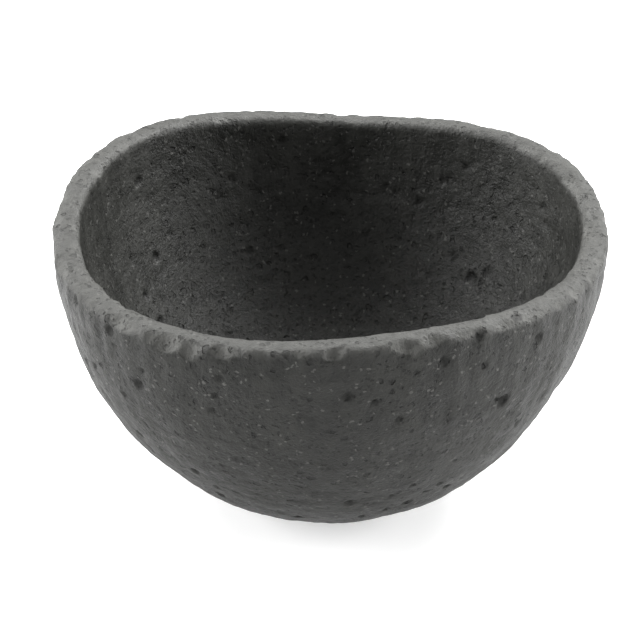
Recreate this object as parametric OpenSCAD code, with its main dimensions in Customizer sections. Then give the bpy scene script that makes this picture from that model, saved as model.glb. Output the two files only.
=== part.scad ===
// Legless molcajete: a hand-carved stone mortar bowl, with its loose stone pestle, the
// tejolote, lying inside. Millimetres, +Z up. The origin is the middle of the foot's
// flat face, and -Y is the front.

/* [Bowl] */
// Diameter across the rim
bowl_d = 162.6; // [120:0.1:240]
// Height of the top of the rim, before its waves
bowl_h = 88.8; // [70:0.1:140]
// Diameter of the flat that is ground on the underside
foot_d = 50; // [36:1:60]
// Wall thickness just under the lip
rim_wall = 7.6; // [5:0.2:12]
// Stone left under the middle of the hollow
floor_wall = 12; // [8:0.5:20]
// Height of the rounded lip on top of the wall
lip_h = 2.5; // [1:0.5:5]
// How square the lip is; 2 is half round
lip_square = 3; // [2:0.1:5]

/* [Side] */
// Where the side starts on its quarter turn, so that it leaves the foot at an angle
side_start = 6; // [4:1:20]
// How late the side spreads outwards; 1 is a plain ellipse
side_spread = 1.23; // [1:0.01:1.6]
// How late the side turns upright; 1 is a plain ellipse
side_rise = 1.07; // [0.8:0.01:1.2]

/* [Hand carving] */
// Height of the three soft rises round the rim
rise_h = 2.2; // [0:0.1:3]
// Direction of the first of them
rise_at = 42; // [0:1:120]
// Height of the four smaller rises between them
ripple_h = 0.65; // [0:0.05:1.5]
// Direction of the first of them
ripple_at = 34; // [0:1:90]
// Height of the two broad rises that face each other
saddle_h = 0.3; // [0:0.1:2]
// Direction of the first of them
saddle_at = 137; // [0:1:180]
// How much the rim climbs towards its high side
tilt_h = 1.6; // [0:0.1:3]
// Direction of the high side
tilt_at = 180; // [0:1:359]
// How far three sides of the rim swell out of round
swell = 1.75; // [0:0.05:3]
// Direction of the first swell
swell_at = 7.5; // [0:0.5:120]
// How far four soft corners stand out
corner = 1.4; // [0:0.05:2]
// Direction of the first corner
corner_at = 33; // [0:1:90]

/* [Tejolote] */
// Length of the pestle
tejolote_l = 70; // [45:1:100]
// Width of its grinding end, as if that weren't rounded off
grind_w = 42; // [28:1:56]
// Width of its grip end, as if that weren't rounded off
grip_w = 31; // [20:1:40]
// Thickness as a share of its width: it is flattened, so that it doesn't roll away
flatness = 0.74; // [0.6:0.01:1]
// How square its ends are; 2 is round
end_square = 3.2; // [2:0.1:6]

/* [Rest position of the tejolote] */
// How far its middle lies right of the bowl's axis
rest_x = 2; // [-20:1:20]
// How far its middle lies in front of the bowl's axis
rest_front = 18; // [0:1:30]
// Its turn about the upright axis
rest_turn = 7; // [-90:1:90]
// How far its grip end dips below level
rest_dip = 4; // [-15:0.5:15]
// How far its flat side leans towards the bowl's middle
rest_lean = 9; // [0:0.5:20]
// Gap left between the two stones, square to the hollow's surface
rest_gap = 0.4; // [0.3:0.1:1]

/* [Hidden] */
stone_color = [0.27, 0.27, 0.265];
pestle_color = [0.33, 0.33, 0.325];

segments = 72;
side_rings = 18;
lip_rings = 8;
hollow_rings = 15;
pestle_rings = 28;
pestle_segments = 48;
grinding_allowance = 2;

bowl_r = bowl_d / 2;
foot_r = foot_d / 2;
hollow_r = bowl_r - rim_wall;
wall_top = bowl_h - lip_h;
hollow_depth = wall_top - floor_wall;

// ---- the bowl's section, as [radius, height], at q degrees of its quarter turn

function side_share(q) =
    (pow(sin(q), side_spread) - pow(sin(side_start), side_spread))
    / (1 - pow(sin(side_start), side_spread));

function side_point(q) = [
    foot_r + (bowl_r - foot_r) * side_share(q),
    wall_top * (1 - pow(max(cos(q), 0) / cos(side_start), side_rise))
];

function squared(c) = sign(c) * pow(abs(c), 2 / lip_square);

function lip_point(q) = [
    bowl_r - rim_wall / 2 * (1 - squared(cos(q))),
    wall_top + lip_h * squared(sin(q))
];

function hollow_point(q) = [
    hollow_r * sin(q),
    floor_wall + hollow_depth * (1 - cos(q))
];

// From the stone under the foot, up the side, over the lip and down into the hollow
section = concat(
    [[foot_r, -grinding_allowance]],
    [for (i = [0:side_rings]) side_point(side_start + (90 - side_start) * i / side_rings)],
    [for (i = [1:lip_rings - 1]) lip_point(180 * i / lip_rings)],
    [for (i = [0:hollow_rings - 1]) hollow_point(90 * (1 - i / hollow_rings))]
);

// ---- what the carver's hand adds in direction a, growing from the foot to the rim

function rim_lift(a) =
    rise_h * cos(3 * (a - rise_at))
    + ripple_h * cos(4 * (a - ripple_at))
    + saddle_h * cos(2 * (a - saddle_at))
    + tilt_h * cos(a - tilt_at);

function out_of_round(a) =
    swell * cos(3 * (a - swell_at)) + corner * cos(4 * (a - corner_at));

function up_share(z) = max(z, 0) / bowl_h;

function carved(r, z, a) =
    let (k = r * (1 + up_share(z) * out_of_round(a) / bowl_r))
    [k * cos(a), k * sin(a), z + rim_lift(a) * pow(up_share(z), 2)];

// ---- height of the hollow's surface above a place on the floor plan

function hollow_z(r) = hollow_point(asin(min(r / hollow_r, 1)))[1];

function hollow_height(x, y) =
    let (
        a = atan2(y, x),
        r = norm([x, y]),
        rough_z = hollow_z(r),
        true_r = r / (1 + up_share(rough_z) * out_of_round(a) / bowl_r),
        z = hollow_z(true_r)
    )
    z + rim_lift(a) * pow(up_share(z), 2);

// A gap square to the hollow's surface, as it measures straight up at radius r
function upright_gap(gap, r) =
    gap * norm([1, hollow_depth / hollow_r * tan(asin(min(r / hollow_r, 1)))]);

// ---- the tejolote's outline: half width at u, from -1 at the grinding end to 1 at the grip

function taper(u) = (grind_w + (grip_w - grind_w) * (u + 1) / 2) / 2;

function end_round(u) = pow(max(1 - pow(abs(u), end_square), 0), 1 / end_square);

// From just inside one end's middle to the other, closer together towards the ends
pestle_outline = [
    for (i = [1:pestle_rings - 1])
    let (u = -cos(180 * i / pestle_rings))
    [taper(u) * end_round(u), tejolote_l / 2 * u]
];

// A point of its surface, f degrees round its axis, as it lies but not yet lowered
function lying(p, f) =
    let (
        side = p[0] * cos(f),
        top = flatness * p[0] * sin(f),
        y = side * cos(rest_lean) + top * sin(rest_lean),
        up = top * cos(rest_lean) - side * sin(rest_lean),
        x = p[1] * cos(rest_dip) + up * sin(rest_dip),
        z = up * cos(rest_dip) - p[1] * sin(rest_dip)
    )
    [
        rest_x + x * cos(rest_turn) - y * sin(rest_turn),
        -rest_front + x * sin(rest_turn) + y * cos(rest_turn),
        z
    ];

lying_points = concat(
    [for (p = pestle_outline, k = [0:pestle_segments - 1]) lying(p, 360 * k / pestle_segments)],
    [lying([0, -tejolote_l / 2], 0), lying([0, tejolote_l / 2], 0)]
);

// It is lowered until its nearest point is rest_gap away from the hollow
rest_z = max([
    for (t = lying_points)
    hollow_height(t[0], t[1]) + upright_gap(rest_gap, norm([t[0], t[1]])) - t[2]
]);

// ---- rings of points, one after the other, joined into a skin with a point at each end

function skin(rings, around, first_end, last_end) = concat(
    [
        for (i = [0:rings - 2], k = [0:around - 1])
        let (n = (k + 1) % around, a = i * around, b = a + around)
        each [[a + k, b + k, b + n], [a + k, b + n, a + n]]
    ],
    [
        for (k = [0:around - 1])
        let (n = (k + 1) % around, last = (rings - 1) * around)
        each [[first_end, k, n], [last_end, last + n, last + k]]
    ]
);

// ---- the two stones

module carved_stone() {
    rings = len(section);
    ends = rings * segments;
    points = concat(
        [for (p = section, k = [0:segments - 1]) carved(p[0], p[1], 360 * k / segments)],
        [[0, 0, -grinding_allowance], [0, 0, floor_wall]]
    );
    polyhedron(points, skin(rings, segments, ends, ends + 1));
}

module bowl() {
    color(stone_color)
    difference() {
        carved_stone();
        translate([-bowl_d, -bowl_d, -bowl_d])
        cube([2 * bowl_d, 2 * bowl_d, bowl_d]);
    }
}

module tejolote() {
    rings = len(pestle_outline);
    ends = rings * pestle_segments;
    color(pestle_color)
    translate([0, 0, rest_z])
    polyhedron(lying_points, skin(rings, pestle_segments, ends, ends + 1));
}

bowl();
tejolote();
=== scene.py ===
from math import atan2, cos, degrees, hypot, radians, sin
from random import Random

import bmesh
import bpy
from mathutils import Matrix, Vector, kdtree, noise
from mathutils.bvhtree import BVHTree


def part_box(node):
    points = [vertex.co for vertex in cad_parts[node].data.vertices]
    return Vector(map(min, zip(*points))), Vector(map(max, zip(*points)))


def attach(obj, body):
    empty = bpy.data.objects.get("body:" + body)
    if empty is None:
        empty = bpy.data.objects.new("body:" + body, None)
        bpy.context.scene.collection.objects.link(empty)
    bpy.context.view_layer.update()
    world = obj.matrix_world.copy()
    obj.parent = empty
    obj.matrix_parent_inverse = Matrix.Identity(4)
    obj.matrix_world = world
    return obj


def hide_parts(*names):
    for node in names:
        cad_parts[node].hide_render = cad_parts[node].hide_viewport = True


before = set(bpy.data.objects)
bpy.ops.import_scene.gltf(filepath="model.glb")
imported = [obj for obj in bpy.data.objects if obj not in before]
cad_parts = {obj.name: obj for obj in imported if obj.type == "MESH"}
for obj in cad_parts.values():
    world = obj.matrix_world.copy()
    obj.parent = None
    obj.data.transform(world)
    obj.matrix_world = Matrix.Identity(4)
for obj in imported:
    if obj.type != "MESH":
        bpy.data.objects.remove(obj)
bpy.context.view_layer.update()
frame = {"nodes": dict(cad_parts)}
mm = 0.001
mergeDistance = 0.01 * mm
tooCloseToMove = 0.02 * mm  # a point this near a ball's middle has no direction to move in
print("frame loaded:", ", ".join(frame["nodes"]))


def clamp(value, low, high):
    return max(low, min(high, value))


def smoothStep(start, end, value):
    share = clamp((value - start) / (end - start), 0.0, 1.0)
    return share * share * (3 - 2 * share)


# From least, where the share is 0, up to the whole where it is 1
def atLeast(least, share):
    return least + (1 - least) * share


evenStrength = 0.5  # of each pass that evens out the fine skin


# A copy of a CAD node, remade as an even fine skin that still lies on the node's surface
def fineStone(node, name, grainSize, evenPasses):
    stone = bpy.data.objects.new(name, frame["nodes"][node].data.copy())
    bpy.context.scene.collection.objects.link(stone)
    merged = bmesh.new()
    merged.from_mesh(stone.data)
    bmesh.ops.remove_doubles(merged, verts=merged.verts, dist=mergeDistance)
    bmesh.ops.recalc_face_normals(merged, faces=merged.faces)
    merged.to_mesh(stone.data)
    surface = BVHTree.FromBMesh(merged)
    merged.free()
    remesh = stone.modifiers.new("fineSkin", "REMESH")
    remesh.mode = "VOXEL"
    remesh.voxel_size = grainSize
    graph = bpy.context.evaluated_depsgraph_get()
    fine = bpy.data.meshes.new_from_object(stone.evaluated_get(graph))
    stone.modifiers.clear()
    stone.data = fine
    fine.name = name
    skin = bmesh.new()
    skin.from_mesh(fine)
    for step in range(evenPasses):
        bmesh.ops.smooth_vert(
            skin,
            verts=skin.verts,
            factor=evenStrength,
            use_axis_x=True,
            use_axis_y=True,
            use_axis_z=True,
        )
    for vert in skin.verts:
        vert.co = surface.find_nearest(vert.co)[0]
    skin.normal_update()
    skin.verts.ensure_lookup_table()
    return stone, skin


def closeStone(stone, skin, shades):
    for shade, values in shades.items():
        layer = skin.verts.layers.float.new(shade)
        for vert, value in zip(skin.verts, values):
            vert[layer] = value
    for face in skin.faces:
        face.smooth = True
    skin.to_mesh(stone.data)
    skin.free()
    print(stone.name, len(stone.data.polygons), "faces")


def treeOf(verts):
    tree = kdtree.KDTree(len(verts))
    for vert in verts:
        tree.insert(vert.co, vert.index)
    tree.balance()
    return tree


# How fast the smaller waves of a ragged wall weaken, how much smaller each is, and how many
raggedDetail = (0.8, 2.2, 2)


# A ball of stone is knocked out: what lies inside it moves out to its uneven wall
def scoop(verts, tree, hollow, centre, radius, ragged, raggedSize):
    for place, index, distance in tree.find_range(centre, radius + ragged):
        vert = verts[index]
        away = vert.co - centre
        reach = radius + ragged * noise.fractal(vert.co / raggedSize, *raggedDetail)
        if away.length < reach and away.length > tooCloseToMove:
            depth = reach - away.length
            vert.co += away.normalized() * depth
            hollow[index] = max(hollow[index], depth / mm)


# Small pits with ragged walls, most of them close to the smallest size
def pitStone(verts, tree, hollow, pool, count, chance, look):
    small, large = look["pitRadius"]
    for index in chance.sample(pool, count):
        vert = verts[index]
        radius = small + (large - small) * chance.random() ** look["pitRarity"]
        centre = vert.co + vert.normal * radius * chance.uniform(*look["pitLift"])
        scoop(verts, tree, hollow, centre, radius, look["pitRagged"], look["pitRaggedSize"])


faintestDent = 0.35
dentReach = 0.62  # of the distance between dents
dentMixer = 7.3  # spreads the dents' middles over the noise that gives them their strength


# Dents of a pointed hammer, close together, each a shallow dish
def peckedDepth(place, size):
    distances, centres = noise.voronoi(place / size)
    strength = atLeast(faintestDent, noise.cell(centres[0] * dentMixer))
    return -strength * (1 - smoothStep(0.0, dentReach, distances[0]))


bowlStone = {
    "grainSize": 1.14 * mm,
    "evenPasses": 3,
    "seed": 43,
    # Size and height of the waves, and size and depth of the dents
    "waves": ((34 * mm, 0.6 * mm), (15 * mm, 0.4 * mm), (7 * mm, 0.24 * mm)),
    "waveShift": Vector((3.1, 0.4, 7.7)),
    "dents": ((7.5 * mm, 0.5 * mm), (3.6 * mm, 0.28 * mm)),
    "grain": 0.12 * mm,
    "grainPatch": 2.4 * mm,
    # Shares that are left where the stone is ground smoothest
    "leastWave": 0.35,
    "leastDent": 0.3,
    "leastGrain": 0.4,
    "fullness": 0.14 * mm,  # makes up for what the dents take off
    "grooveDepth": 0.38 * mm,
    "grooveWidth": 3.2 * mm,
    "grooveLength": 26 * mm,
    "grooveFade": 45 * mm,  # how far below the rim the chisel's grooves have faded out
    "grooveLoss": 0.8,  # share of the grooves that is missing inside
    "groundRoughness": 0.4,  # share of the outside's roughness that grinding has left inside
    "groundLimit": 0.12 * mm,  # how far the ground floor may stand proud
    # As shares of the bowl's height: from where to where the grinding gets stronger, and
    # below where the floor counts as ground
    "grinding": (0.75, 0.3),
    "groundBelow": 0.6,
    "insideFacing": (0.15, -0.45),  # from facing away from the bowl's heart to facing it
    "insideFrom": 0.5,
    "footFlat": (3.5 * mm, 0.4 * mm),  # heights between which the dressing fades out
    "outerPits": 170,
    "innerPits": 90,
    "pitRadius": (1.3 * mm, 2.4 * mm),
    "pitRarity": 3,  # higher means fewer of the large ones
    "pitLift": (0.25, 0.6),  # how far a pit's middle stands off the skin, in its own radius
    "pitRagged": 0.6 * mm,
    "pitRaggedSize": 2.4 * mm,
    "pitFrom": 4 * mm,  # height above the foot
    "lipHalf": 3.8 * mm,
    "paleLipDrop": 3.0 * mm,  # how far down from the lip the paler band shows, partly wear and partly painted highlight
    "paleLipTop": 0.5 * mm,  # how far down it is at its strongest
    "smallChips": 120,
    "outerChipShare": 0.62,
    "smallChipDrop": 0.5 * mm,
    "smallChipRadius": (4 * mm, 13 * mm),
    "smallChipDepth": (0.35 * mm, 0.9 * mm),
    "smallChipSlant": (35, 70),
    "chipRagged": 0.62 * mm,
    "chipRaggedSize": 3.8 * mm,
    # Direction in degrees; drop below the lip, ball radius and depth in millimetres; and
    # slant of the break in degrees
    "largeChips": (
        (228.5, 0.6, 14, 1.3, 50),
        (239.5, 1.9, 12, 1.0, 38),
        (244.5, 2.7, 7, 0.8, 26),
        (250.5, 1.0, 12, 1.5, 46),
        (263.5, 0.8, 16, 1.1, 52),
        (271.0, 1.2, 4.0, 1.2, 25),
        (284.0, 1.2, 5.0, 1.7, 40),
        (286.5, 2.4, 2.8, 1.1, 0),
        (289.5, 0.9, 9, 1.2, 48),
        (297.0, 0.8, 12, 1.0, 50),
        (306.0, 0.8, 12, 1.0, 50),
        (313.5, 0.8, 13, 1.2, 50),
        (205.0, 0.8, 14, 1.3, 50),
        (338.0, 0.8, 12, 1.1, 50),
        (18.0, 0.8, 15, 1.2, 50),
        (52.0, 0.8, 12, 1.4, 48),
        (97.0, 0.8, 13, 1.2, 50),
        (150.0, 0.8, 14, 1.4, 48),
        (176.0, 0.8, 11, 1.0, 52),
    ),
}


def dressBowl(verts, inside, high, look):
    relief = []
    moves = []
    for vert, inner in zip(verts, inside):
        level = vert.co.z / high.z
        calm = 1 - inner * (1 - look["groundRoughness"])
        worn = 1 - inner * smoothStep(*look["grinding"], level)
        rise = look["fullness"]
        for size, height in look["waves"]:
            shifted = vert.co / size + look["waveShift"]
            rise += height * noise.noise(shifted) * atLeast(look["leastWave"], calm)
        dents = 0.0
        for size, depth in look["dents"]:
            dents += depth * peckedDepth(vert.co, size) * calm * atLeast(look["leastDent"], worn)
        grain = look["grain"] * noise.noise(vert.co / look["grainPatch"])
        dents += grain * atLeast(look["leastGrain"], worn)
        flat = Vector((vert.co.x, vert.co.y, 0)) / look["grooveWidth"]
        groove = noise.noise(flat + Vector((0, 0, vert.co.z / look["grooveLength"])))
        fade = smoothStep(high.z - look["grooveFade"], high.z, vert.co.z)
        dents += look["grooveDepth"] * groove * fade * (1 - inner * look["grooveLoss"])
        rise += dents
        if inner > look["insideFrom"] and level < look["groundBelow"]:
            rise = min(rise, look["groundLimit"])
        rise *= 1 - smoothStep(*look["footFlat"], vert.co.z)
        moves.append(vert.normal * rise)
        relief.append(dents / mm)
    for vert, move in zip(verts, moves):
        vert.co += move
    return relief


fullTurn = 360


def directionOf(place):
    return round(degrees(atan2(place.y, place.x))) % fullTurn


# The highest point of the lip in each direction, by the degree
def lipLine(verts):
    tops = {}
    for vert in verts:
        spot = directionOf(vert.co)
        if spot not in tops or vert.co.z > tops[spot].z:
            tops[spot] = vert.co.copy()
    return tops


def chipRim(verts, broken, tops, chance, look):
    tree = treeOf(verts)

    # side is 1 on the outer edge of the lip and -1 on the inner one
    def chip(direction, drop, radius, depth, slant, side=1):
        top = tops[round(direction) % fullTurn]
        outward = Vector((cos(radians(direction)), sin(radians(direction)), 0))
        edge = outward * (hypot(top.x, top.y) + side * look["lipHalf"])
        edge.z = top.z - drop
        away = outward * side * cos(radians(slant)) + Vector((0, 0, sin(radians(slant))))
        centre = edge + away * (radius - depth)
        scoop(verts, tree, broken, centre, radius, look["chipRagged"], look["chipRaggedSize"])

    for direction, drop, radius, depth, slant in look["largeChips"]:
        chip(direction, drop * mm, radius * mm, depth * mm, slant)
    for count in range(look["smallChips"]):
        side = 1 if chance.random() < look["outerChipShare"] else -1
        radius = chance.uniform(*look["smallChipRadius"])
        depth = chance.uniform(*look["smallChipDepth"])
        slant = chance.uniform(*look["smallChipSlant"])
        chip(chance.uniform(0, fullTurn), look["smallChipDrop"], radius, depth, slant, side)


def carveBowl(look):
    stone, skin = fineStone("bowl", "bowlStone", look["grainSize"], look["evenPasses"])
    low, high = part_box("bowl")
    chance = Random(look["seed"])
    verts = skin.verts
    heart = Vector((0, 0, high.z))
    inside = []
    for vert in verts:
        facing = vert.normal.dot((vert.co - heart).normalized())
        inside.append(smoothStep(*look["insideFacing"], facing))
    tops = lipLine(verts)
    # The paler band just under the lip top: partly wear and partly painted highlight where the lip
    # catches the light
    worn = []
    for vert in verts:
        top = tops[directionOf(vert.co)]
        worn.append(smoothStep(top.z - look["paleLipDrop"], top.z - look["paleLipTop"], vert.co.z))
    relief = dressBowl(verts, inside, high, look)
    print("bowl dressed")

    broken = [0.0] * len(verts)
    chipRim(verts, broken, tops, chance, look)
    skin.normal_update()
    print("rim chipped")

    hollow = [0.0] * len(verts)
    tree = treeOf(verts)
    for wanted, count in ((False, look["outerPits"]), (True, look["innerPits"])):
        pool = []
        for vert in verts:
            isInside = inside[vert.index] >= look["insideFrom"]
            if isInside == wanted and vert.co.z > look["pitFrom"]:
                pool.append(vert.index)
        pitStone(verts, tree, hollow, pool, count, chance, look)
    print("bowl pitted")

    for vert in verts:
        vert.co.z = max(vert.co.z, low.z)
    shades = {
        "pitDepth": hollow,
        "broken": broken,
        "ground": inside,
        "worn": worn,
        "relief": relief,
    }
    closeStone(stone, skin, shades)
    return stone


tejoloteStone = {
    "grainSize": 0.62 * mm,
    "evenPasses": 2,
    "seed": 87,
    "waves": ((22 * mm, 0.32 * mm), (9 * mm, 0.2 * mm)),
    "dentSize": 4.5 * mm,
    "dentDepth": 0.34 * mm,
    "grain": 0.07 * mm,
    "grainPatch": 1.4 * mm,
    "proudest": 0.1 * mm,  # it lies close to the bowl, so its skin may only sink
    "groundEnd": (0.06, 0.22),  # shares of its length between which its end's wear fades out
    "wearEffect": 0.75,  # share of the dents that wear takes off
    "pits": 130,
    "pitRadius": (0.8 * mm, 1.6 * mm),
    "pitRarity": 3,
    "pitLift": (0.25, 0.6),
    "pitRagged": 0.3 * mm,
    "pitRaggedSize": 1.4 * mm,
}


def carveTejolote(look):
    stone, skin = fineStone("tejolote", "tejoloteStone", look["grainSize"], look["evenPasses"])
    low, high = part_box("tejolote")
    chance = Random(look["seed"])
    verts = skin.verts
    hollow = [0.0] * len(verts)
    ground = []
    relief = []
    moves = []
    fullWear, noWear = look["groundEnd"]
    for vert in verts:
        along = (vert.co.x - low.x) / (high.x - low.x)
        wear = smoothStep(noWear, fullWear, along)
        dents = look["dentDepth"] * peckedDepth(vert.co, look["dentSize"])
        dents *= 1 - look["wearEffect"] * wear
        dents += look["grain"] * noise.noise(vert.co / look["grainPatch"])
        rise = dents
        for size, height in look["waves"]:
            rise += height * noise.noise(vert.co / size)
        moves.append(vert.normal * min(rise, look["proudest"]))
        relief.append(dents / mm)
        ground.append(wear)
    for vert, move in zip(verts, moves):
        vert.co += move
    skin.normal_update()
    pool = list(range(len(verts)))
    pitStone(verts, treeOf(verts), hollow, pool, look["pits"], chance, look)
    none = [0.0] * len(verts)
    shades = {"pitDepth": hollow, "broken": none, "ground": ground, "worn": none, "relief": relief}
    closeStone(stone, skin, shades)
    print("tejolote carved")
    return stone


class Value:
    def __init__(self, tree, socket=None):
        self.tree = tree
        self.socket = socket

    def add(self, kind, settings=None, values=None, output=0):
        node = self.tree.nodes.new(kind)
        for name, setting in (settings or {}).items():
            setattr(node, name, setting)
        for name, value in (values or {}).items():
            if isinstance(value, Value):
                self.tree.links.new(value.socket, node.inputs[name])
            else:
                node.inputs[name].default_value = value
        return Value(self.tree, node.outputs[output])

    def sibling(self, output):
        return Value(self.tree, self.socket.node.outputs[output])

    def maths(self, operation, first, second=0.0):
        return self.add("ShaderNodeMath", {"operation": operation}, {0: first, 1: second})

    def __add__(self, other):
        return self.maths("ADD", self, other)

    def __radd__(self, other):
        return self.maths("ADD", other, self)

    def __sub__(self, other):
        return self.maths("SUBTRACT", self, other)

    def __rsub__(self, other):
        return self.maths("SUBTRACT", other, self)

    def __mul__(self, other):
        return self.maths("MULTIPLY", self, other)

    def __rmul__(self, other):
        return self.maths("MULTIPLY", other, self)

    def limited(self, low=0.0, high=1.0):
        return self.maths("MINIMUM", self.maths("MAXIMUM", self, low), high)

    def between(self, start, end):
        return self.add(
            "ShaderNodeMapRange",
            {"interpolation_type": "SMOOTHSTEP"},
            {"Value": self, "From Min": start, "From Max": end},
        )

    # Sockets 6 and 7 of a mix are its two colours, and its output 2 is the colour that comes out
    def blendOf(self, first, second):
        return self.add(
            "ShaderNodeMix", {"data_type": "RGBA"}, {"Factor": self, 6: first, 7: second}, 2
        )


# Sizes are in metres. A share is how much of the tone, or of the relief, a pattern makes up
stonePattern = {
    # Size, detail and roughness of each cloud; the upright ones are drawn out along the wall
    "clouds": {
        "patches": (26 * mm, 3.0, 0.55),
        "mottle": (6.5 * mm, 4.0, 0.6),
        "coarse": (2.6 * mm, 3.0, 0.6),
        "fine": (0.9 * mm, 3.0, 0.7),
        "openPatches": (11 * mm, 2.0, 0.55),
    },
    "uprightClouds": {
        "streaks": (3.4 * mm, 3.0, 0.6),
        "bands": (9 * mm, 2.0, 0.5),
    },
    "uprightStretch": 0.18,
    "toneShares": {
        "patches": 0.2,
        "bands": 0.26,
        "streaks": 0.3,
        "mottle": 0.26,
        "coarse": 0.12,
        "fine": 0.2,
        # The carved relief's share darkens the tone in the hammer dents and grooves: painted shade
        "relief": 0.14,
        "ground": 0.06,
    },
    "toneSpan": (0.47, 0.95),
    "heightShares": {"coarse": 0.6, "fine": 0.5, "mottle": 0.3},
    "streakHeight": 0.3,
    "bumpDepth": 0.7 * mm,
    "bend": (2.2 * mm, 3.0, 0.65),  # a cloud that bends the cells, so that none is round
    "bendReach": 2.6 * mm,
    # Cell size, share of cells without a bubble, and widest radius in cells
    "largeBubble": (3.0 * mm, 0.5, 0.46),
    "smallBubble": (1.4 * mm, 0.1, 0.52),
    "largestDraw": 1.1,  # over 1, so that few bubbles reach the widest radius
    "bubbleEdge": 0.13,
    # Cell size, share of cells without a grain, and strength
    "paleGrain": (1.1 * mm, 0.9, 0.5),
    "blackGrain": (1.3 * mm, 0.8, 0.6),
    "grainStep": 0.03,
    "grainEdge": (0.3, 0.5),
    "openSpan": (0.36, 0.62),  # where the stone is more open, with more small bubbles
    "leastOpen": 0.35,
    "groundBubbleLoss": 0.35,
    # Painted shade: how much the cut bubbles darken the colour
    "bubblePaintedShade": 0.4,
    "largeBubbleHeight": 1.0,
    "smallBubbleHeight": 0.6,
    # Painted shade: how much the carved pits darken the colour
    "pitPaintedShade": 0.4,
    "pitGain": 1.2,
    "lipWearAndHighlightShare": (0.15, 0.6),  # partly wear and partly painted highlight: everywhere on the lip, and more with the coarse pattern
    "freshShare": (0.3, 0.8),  # everywhere on a break, and more with the mottle
    "freshGain": 1.4,
    # Painted shade: how much the outside darkens towards the foot, and up to what height
    "paintedFootShade": 0.17,
    "footHeight": 38 * mm,
    "groundGloss": 0.18,
    "pitRoughness": 0.12,
}

basalt = {
    "bowl": {
        "dark": (0.0094, 0.0096, 0.0086, 1),
        "light": (0.0306, 0.0309, 0.0281, 1),
        # Colour of the painted shade in the pits and the bubbles
        "pitShade": (0.0060, 0.0060, 0.0055, 1),
        "paleGrain": (0.105, 0.104, 0.098, 1),
        "blackGrain": (0.0055, 0.0055, 0.0052, 1),
        "fresh": (0.080, 0.0802, 0.0750, 1),
        # Paler lip colour: partly wear and partly painted highlight
        "lipWearAndHighlight": (0.092, 0.0922, 0.0868, 1),
        "roughness": (0.46, 0.74),
        "specular": 0.2,
        "shift": 0.0,
    },
    "tejolote": {
        "dark": (0.0170, 0.0172, 0.0158, 1),
        "light": (0.0500, 0.0503, 0.0465, 1),
        # Colour of the painted shade in the pits and the bubbles
        "pitShade": (0.0080, 0.0080, 0.0075, 1),
        "paleGrain": (0.12, 0.119, 0.112, 1),
        "blackGrain": (0.0070, 0.0070, 0.0067, 1),
        "fresh": (0.09, 0.0895, 0.085, 1),
        "lipWearAndHighlight": (0.09, 0.0895, 0.085, 1),
        "roughness": (0.46, 0.74),
        "specular": 0.2,
        "shift": 0.4,
    },
}


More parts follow.
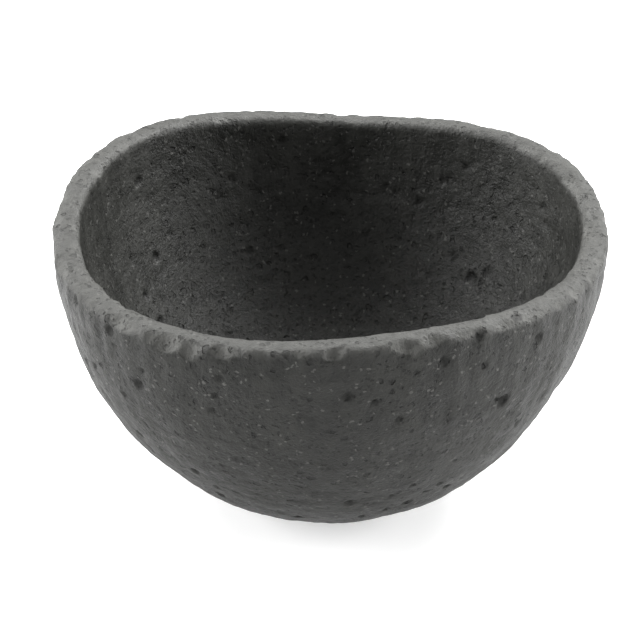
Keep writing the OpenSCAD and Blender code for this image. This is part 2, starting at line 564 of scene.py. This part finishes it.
def makeBasalt(name, look, pattern):
    material = bpy.data.materials.new(name)
    material.use_nodes = True
    tree = material.node_tree
    tree.nodes.clear()
    sheet = Value(tree)
    shift = (look["shift"],) * 3
    place = sheet.add("ShaderNodeTexCoord", output="Object")
    place = sheet.add("ShaderNodeMapping", {}, {"Vector": place, "Location": shift})
    stretch = (1, 1, pattern["uprightStretch"])
    upright = sheet.add("ShaderNodeMapping", {}, {"Vector": place, "Scale": stretch})

    def cloud(where, size, detail, roughness, output=0):
        return sheet.add(
            "ShaderNodeTexNoise",
            {"noise_dimensions": "3D"},
            {"Vector": where, "Scale": 1 / size, "Detail": detail, "Roughness": roughness},
            output,
        )

    reach = (pattern["bendReach"],) * 3
    bent = sheet.add(
        "ShaderNodeVectorMath",
        {"operation": "MULTIPLY_ADD"},
        {0: cloud(place, *pattern["bend"], "Color"), 1: reach, 2: place},
    )

    # The distance to the nearest cell's middle, and a number from 0 to 1 that the cell drew
    def cells(size):
        where = {"Vector": bent, "Scale": 1 / size}
        near = sheet.add("ShaderNodeTexVoronoi", {"feature": "F1"}, where)
        return near, sheet.add("ShaderNodeSeparateColor", {}, {"Color": near.sibling("Color")})

    # Gas bubbles cut open, of many sizes
    def bubbles(size, without, widest):
        near, drawn = cells(size)
        radius = drawn.between(without, pattern["largestDraw"]) * widest
        return (radius - near).between(0.0, pattern["bubbleEdge"])

    def grains(size, without, strength):
        near, drawn = cells(size)
        here = drawn.between(without, without + pattern["grainStep"])
        return here * (1 - near.between(*pattern["grainEdge"])) * strength

    def carved(name):
        return sheet.add("ShaderNodeAttribute", {"attribute_name": name}, output="Fac")

    def weighed(shares):
        return sum(parts[part] * share for part, share in shares.items())

    parts = {"ground": carved("ground"), "relief": carved("relief")}
    for part, values in pattern["clouds"].items():
        parts[part] = cloud(place, *values)
    for part, values in pattern["uprightClouds"].items():
        parts[part] = cloud(upright, *values)
    ground = parts["ground"]
    openPatches = parts["openPatches"].between(*pattern["openSpan"])
    largeBubbles = bubbles(*pattern["largeBubble"]) * (1 - ground * pattern["groundBubbleLoss"])
    smallBubbles = bubbles(*pattern["smallBubble"]) * atLeast(pattern["leastOpen"], openPatches)

    upwards = sheet.add("ShaderNodeSeparateXYZ", {}, {"Vector": place}, "Z")
    # Painted shade: the outside of the bowl grows darker towards the foot
    footShade = (1 - upwards.between(0.0, pattern["footHeight"])) * (1 - ground)
    tone = weighed(pattern["toneShares"]) - footShade * pattern["paintedFootShade"]
    tone = tone.between(*pattern["toneSpan"])
    colour = tone.blendOf(look["dark"], look["light"])
    colour = grains(*pattern["paleGrain"]).blendOf(colour, look["paleGrain"])
    colour = grains(*pattern["blackGrain"]).blendOf(colour, look["blackGrain"])
    # Paler lip: partly wear and partly painted highlight
    least, more = pattern["lipWearAndHighlightShare"]
    lipWearAndHighlight = carved("worn") * (parts["coarse"] * more + least)
    colour = lipWearAndHighlight.limited().blendOf(colour, look["lipWearAndHighlight"])
    least, more = pattern["freshShare"]
    fresh = (carved("broken") * pattern["freshGain"]).limited() * (parts["mottle"] * more + least)
    colour = fresh.limited().blendOf(colour, look["fresh"])
    # Painted shade in the carved pits and the cut bubbles: their colour is darkened, and the same
    # mask adds roughness
    hollowShadeMask = (carved("pitDepth") * pattern["pitGain"]).limited() * pattern["pitPaintedShade"]
    hollowShadeMask = (hollowShadeMask + (largeBubbles + smallBubbles) * pattern["bubblePaintedShade"]).limited()
    colour = hollowShadeMask.blendOf(colour, look["pitShade"])

    low, high = look["roughness"]
    roughness = tone * (high - low) + low + hollowShadeMask * pattern["pitRoughness"]
    roughness = roughness - ground * pattern["groundGloss"]

    height = weighed(pattern["heightShares"])
    height = height + parts["streaks"] * (1 - ground) * pattern["streakHeight"]
    height = height - largeBubbles * pattern["largeBubbleHeight"]
    height = height - smallBubbles * pattern["smallBubbleHeight"]
    bump = sheet.add(
        "ShaderNodeBump", {}, {"Strength": 1.0, "Distance": pattern["bumpDepth"], "Height": height}
    )
    shader = sheet.add(
        "ShaderNodeBsdfPrincipled",
        {},
        {
            "Base Color": colour,
            "Roughness": roughness.limited(),
            "Specular IOR Level": look["specular"],
            "Normal": bump,
        },
    )
    output = tree.nodes.new("ShaderNodeOutputMaterial")
    tree.links.new(shader.socket, output.inputs["Surface"])
    print("material", name)
    return material


def finishStone(piece, material, node):
    piece.data.materials.clear()
    piece.data.materials.append(material)
    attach(piece, node)
    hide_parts(node)


bowl = carveBowl(bowlStone)
bowlBasalt = makeBasalt("bowlBasalt", basalt["bowl"], stonePattern)
finishStone(bowl, bowlBasalt, "bowl")
tejolote = carveTejolote(tejoloteStone)
tejoloteBasalt = makeBasalt("tejoloteBasalt", basalt["tejolote"], stonePattern)
finishStone(tejolote, tejoloteBasalt, "tejolote")


studio = {
    "floorSize": 6.0,
    "floorColour": (0.66, 0.66, 0.66, 1),
    "floorRoughness": 0.9,
    "floorSpecular": 0.1,
    "floorGlow": 0.5,  # keeps the floor pale in the bowl's shadow
    "world": 0.54,
    "cameraDistance": 0.56,
    "cameraDirection": 270,
    "cameraHeightAngle": 30.5,
    "lens": 103.8,
    "sensor": 36,
    "nearest": 0.01,
    "shift": (-0.0122, 0.0375),
    "target": 0.0445,
    "boxSize": 0.6,
    "boxDistance": 1.1,
    # Direction round the bowl and height angle in degrees, and power in watts; 0 is the right
    # and 270 the front
    "softBoxes": {
        "rightBox": (0, 18, 14.0),
        "leftBox": (180, 18, 19.0),
        "highBackRight": (45, 45, 22.5),
        "highBackLeft": (135, 45, 14.0),
        "topBack": (90, 68, 1.7),
    },
}


def buildFloor(look):
    ground = bmesh.new()
    bmesh.ops.create_grid(ground, x_segments=1, y_segments=1, size=look["floorSize"] / 2)
    floorMesh = bpy.data.meshes.new("floor")
    ground.to_mesh(floorMesh)
    ground.free()
    floor = bpy.data.objects.new("floor", floorMesh)
    bpy.context.scene.collection.objects.link(floor)
    paper = bpy.data.materials.new("paper")
    paper.use_nodes = True
    shader = paper.node_tree.nodes["Principled BSDF"]
    shader.inputs["Base Color"].default_value = look["floorColour"]
    shader.inputs["Roughness"].default_value = look["floorRoughness"]
    shader.inputs["Specular IOR Level"].default_value = look["floorSpecular"]
    shader.inputs["Emission Color"].default_value = (1, 1, 1, 1)
    shader.inputs["Emission Strength"].default_value = look["floorGlow"]
    floorMesh.materials.append(paper)


def placeFrom(middle, direction, height, distance):
    turn, lift = radians(direction), radians(height)
    way = Vector((cos(turn) * cos(lift), sin(turn) * cos(lift), sin(lift)))
    return middle + way * distance


def aimed(thing, place, middle):
    aimer = bpy.data.objects.new(thing.name, thing)
    aimer.location = place
    aimer.rotation_euler = (middle - place).to_track_quat("-Z", "Y").to_euler()
    bpy.context.scene.collection.objects.link(aimer)
    return aimer


def lightStudio(look, middle):
    for name, (direction, height, power) in look["softBoxes"].items():
        light = bpy.data.lights.new(name, "AREA")
        light.shape = "SQUARE"
        light.size = look["boxSize"]
        light.energy = power
        lamp = aimed(light, placeFrom(middle, direction, height, look["boxDistance"]), middle)
        lamp.visible_camera = False
    world = bpy.data.worlds.new("studioAir")
    world.use_nodes = True
    air = world.node_tree.nodes["Background"]
    air.inputs["Color"].default_value = (1, 1, 1, 1)
    air.inputs["Strength"].default_value = look["world"]
    bpy.context.scene.world = world
    bpy.context.scene.view_settings.view_transform = "Standard"


def placeCamera(look, middle):
    lens = bpy.data.cameras.new("camera")
    lens.lens = look["lens"]
    lens.sensor_width = look["sensor"]
    lens.shift_x, lens.shift_y = look["shift"]
    lens.clip_start = look["nearest"]
    direction, height = look["cameraDirection"], look["cameraHeightAngle"]
    place = placeFrom(middle, direction, height, look["cameraDistance"])
    bpy.context.scene.camera = aimed(lens, place, middle)


bowlMiddle = Vector((0, 0, studio["target"]))
buildFloor(studio)
lightStudio(studio, bowlMiddle)
placeCamera(studio, bowlMiddle)
print("studio ready")
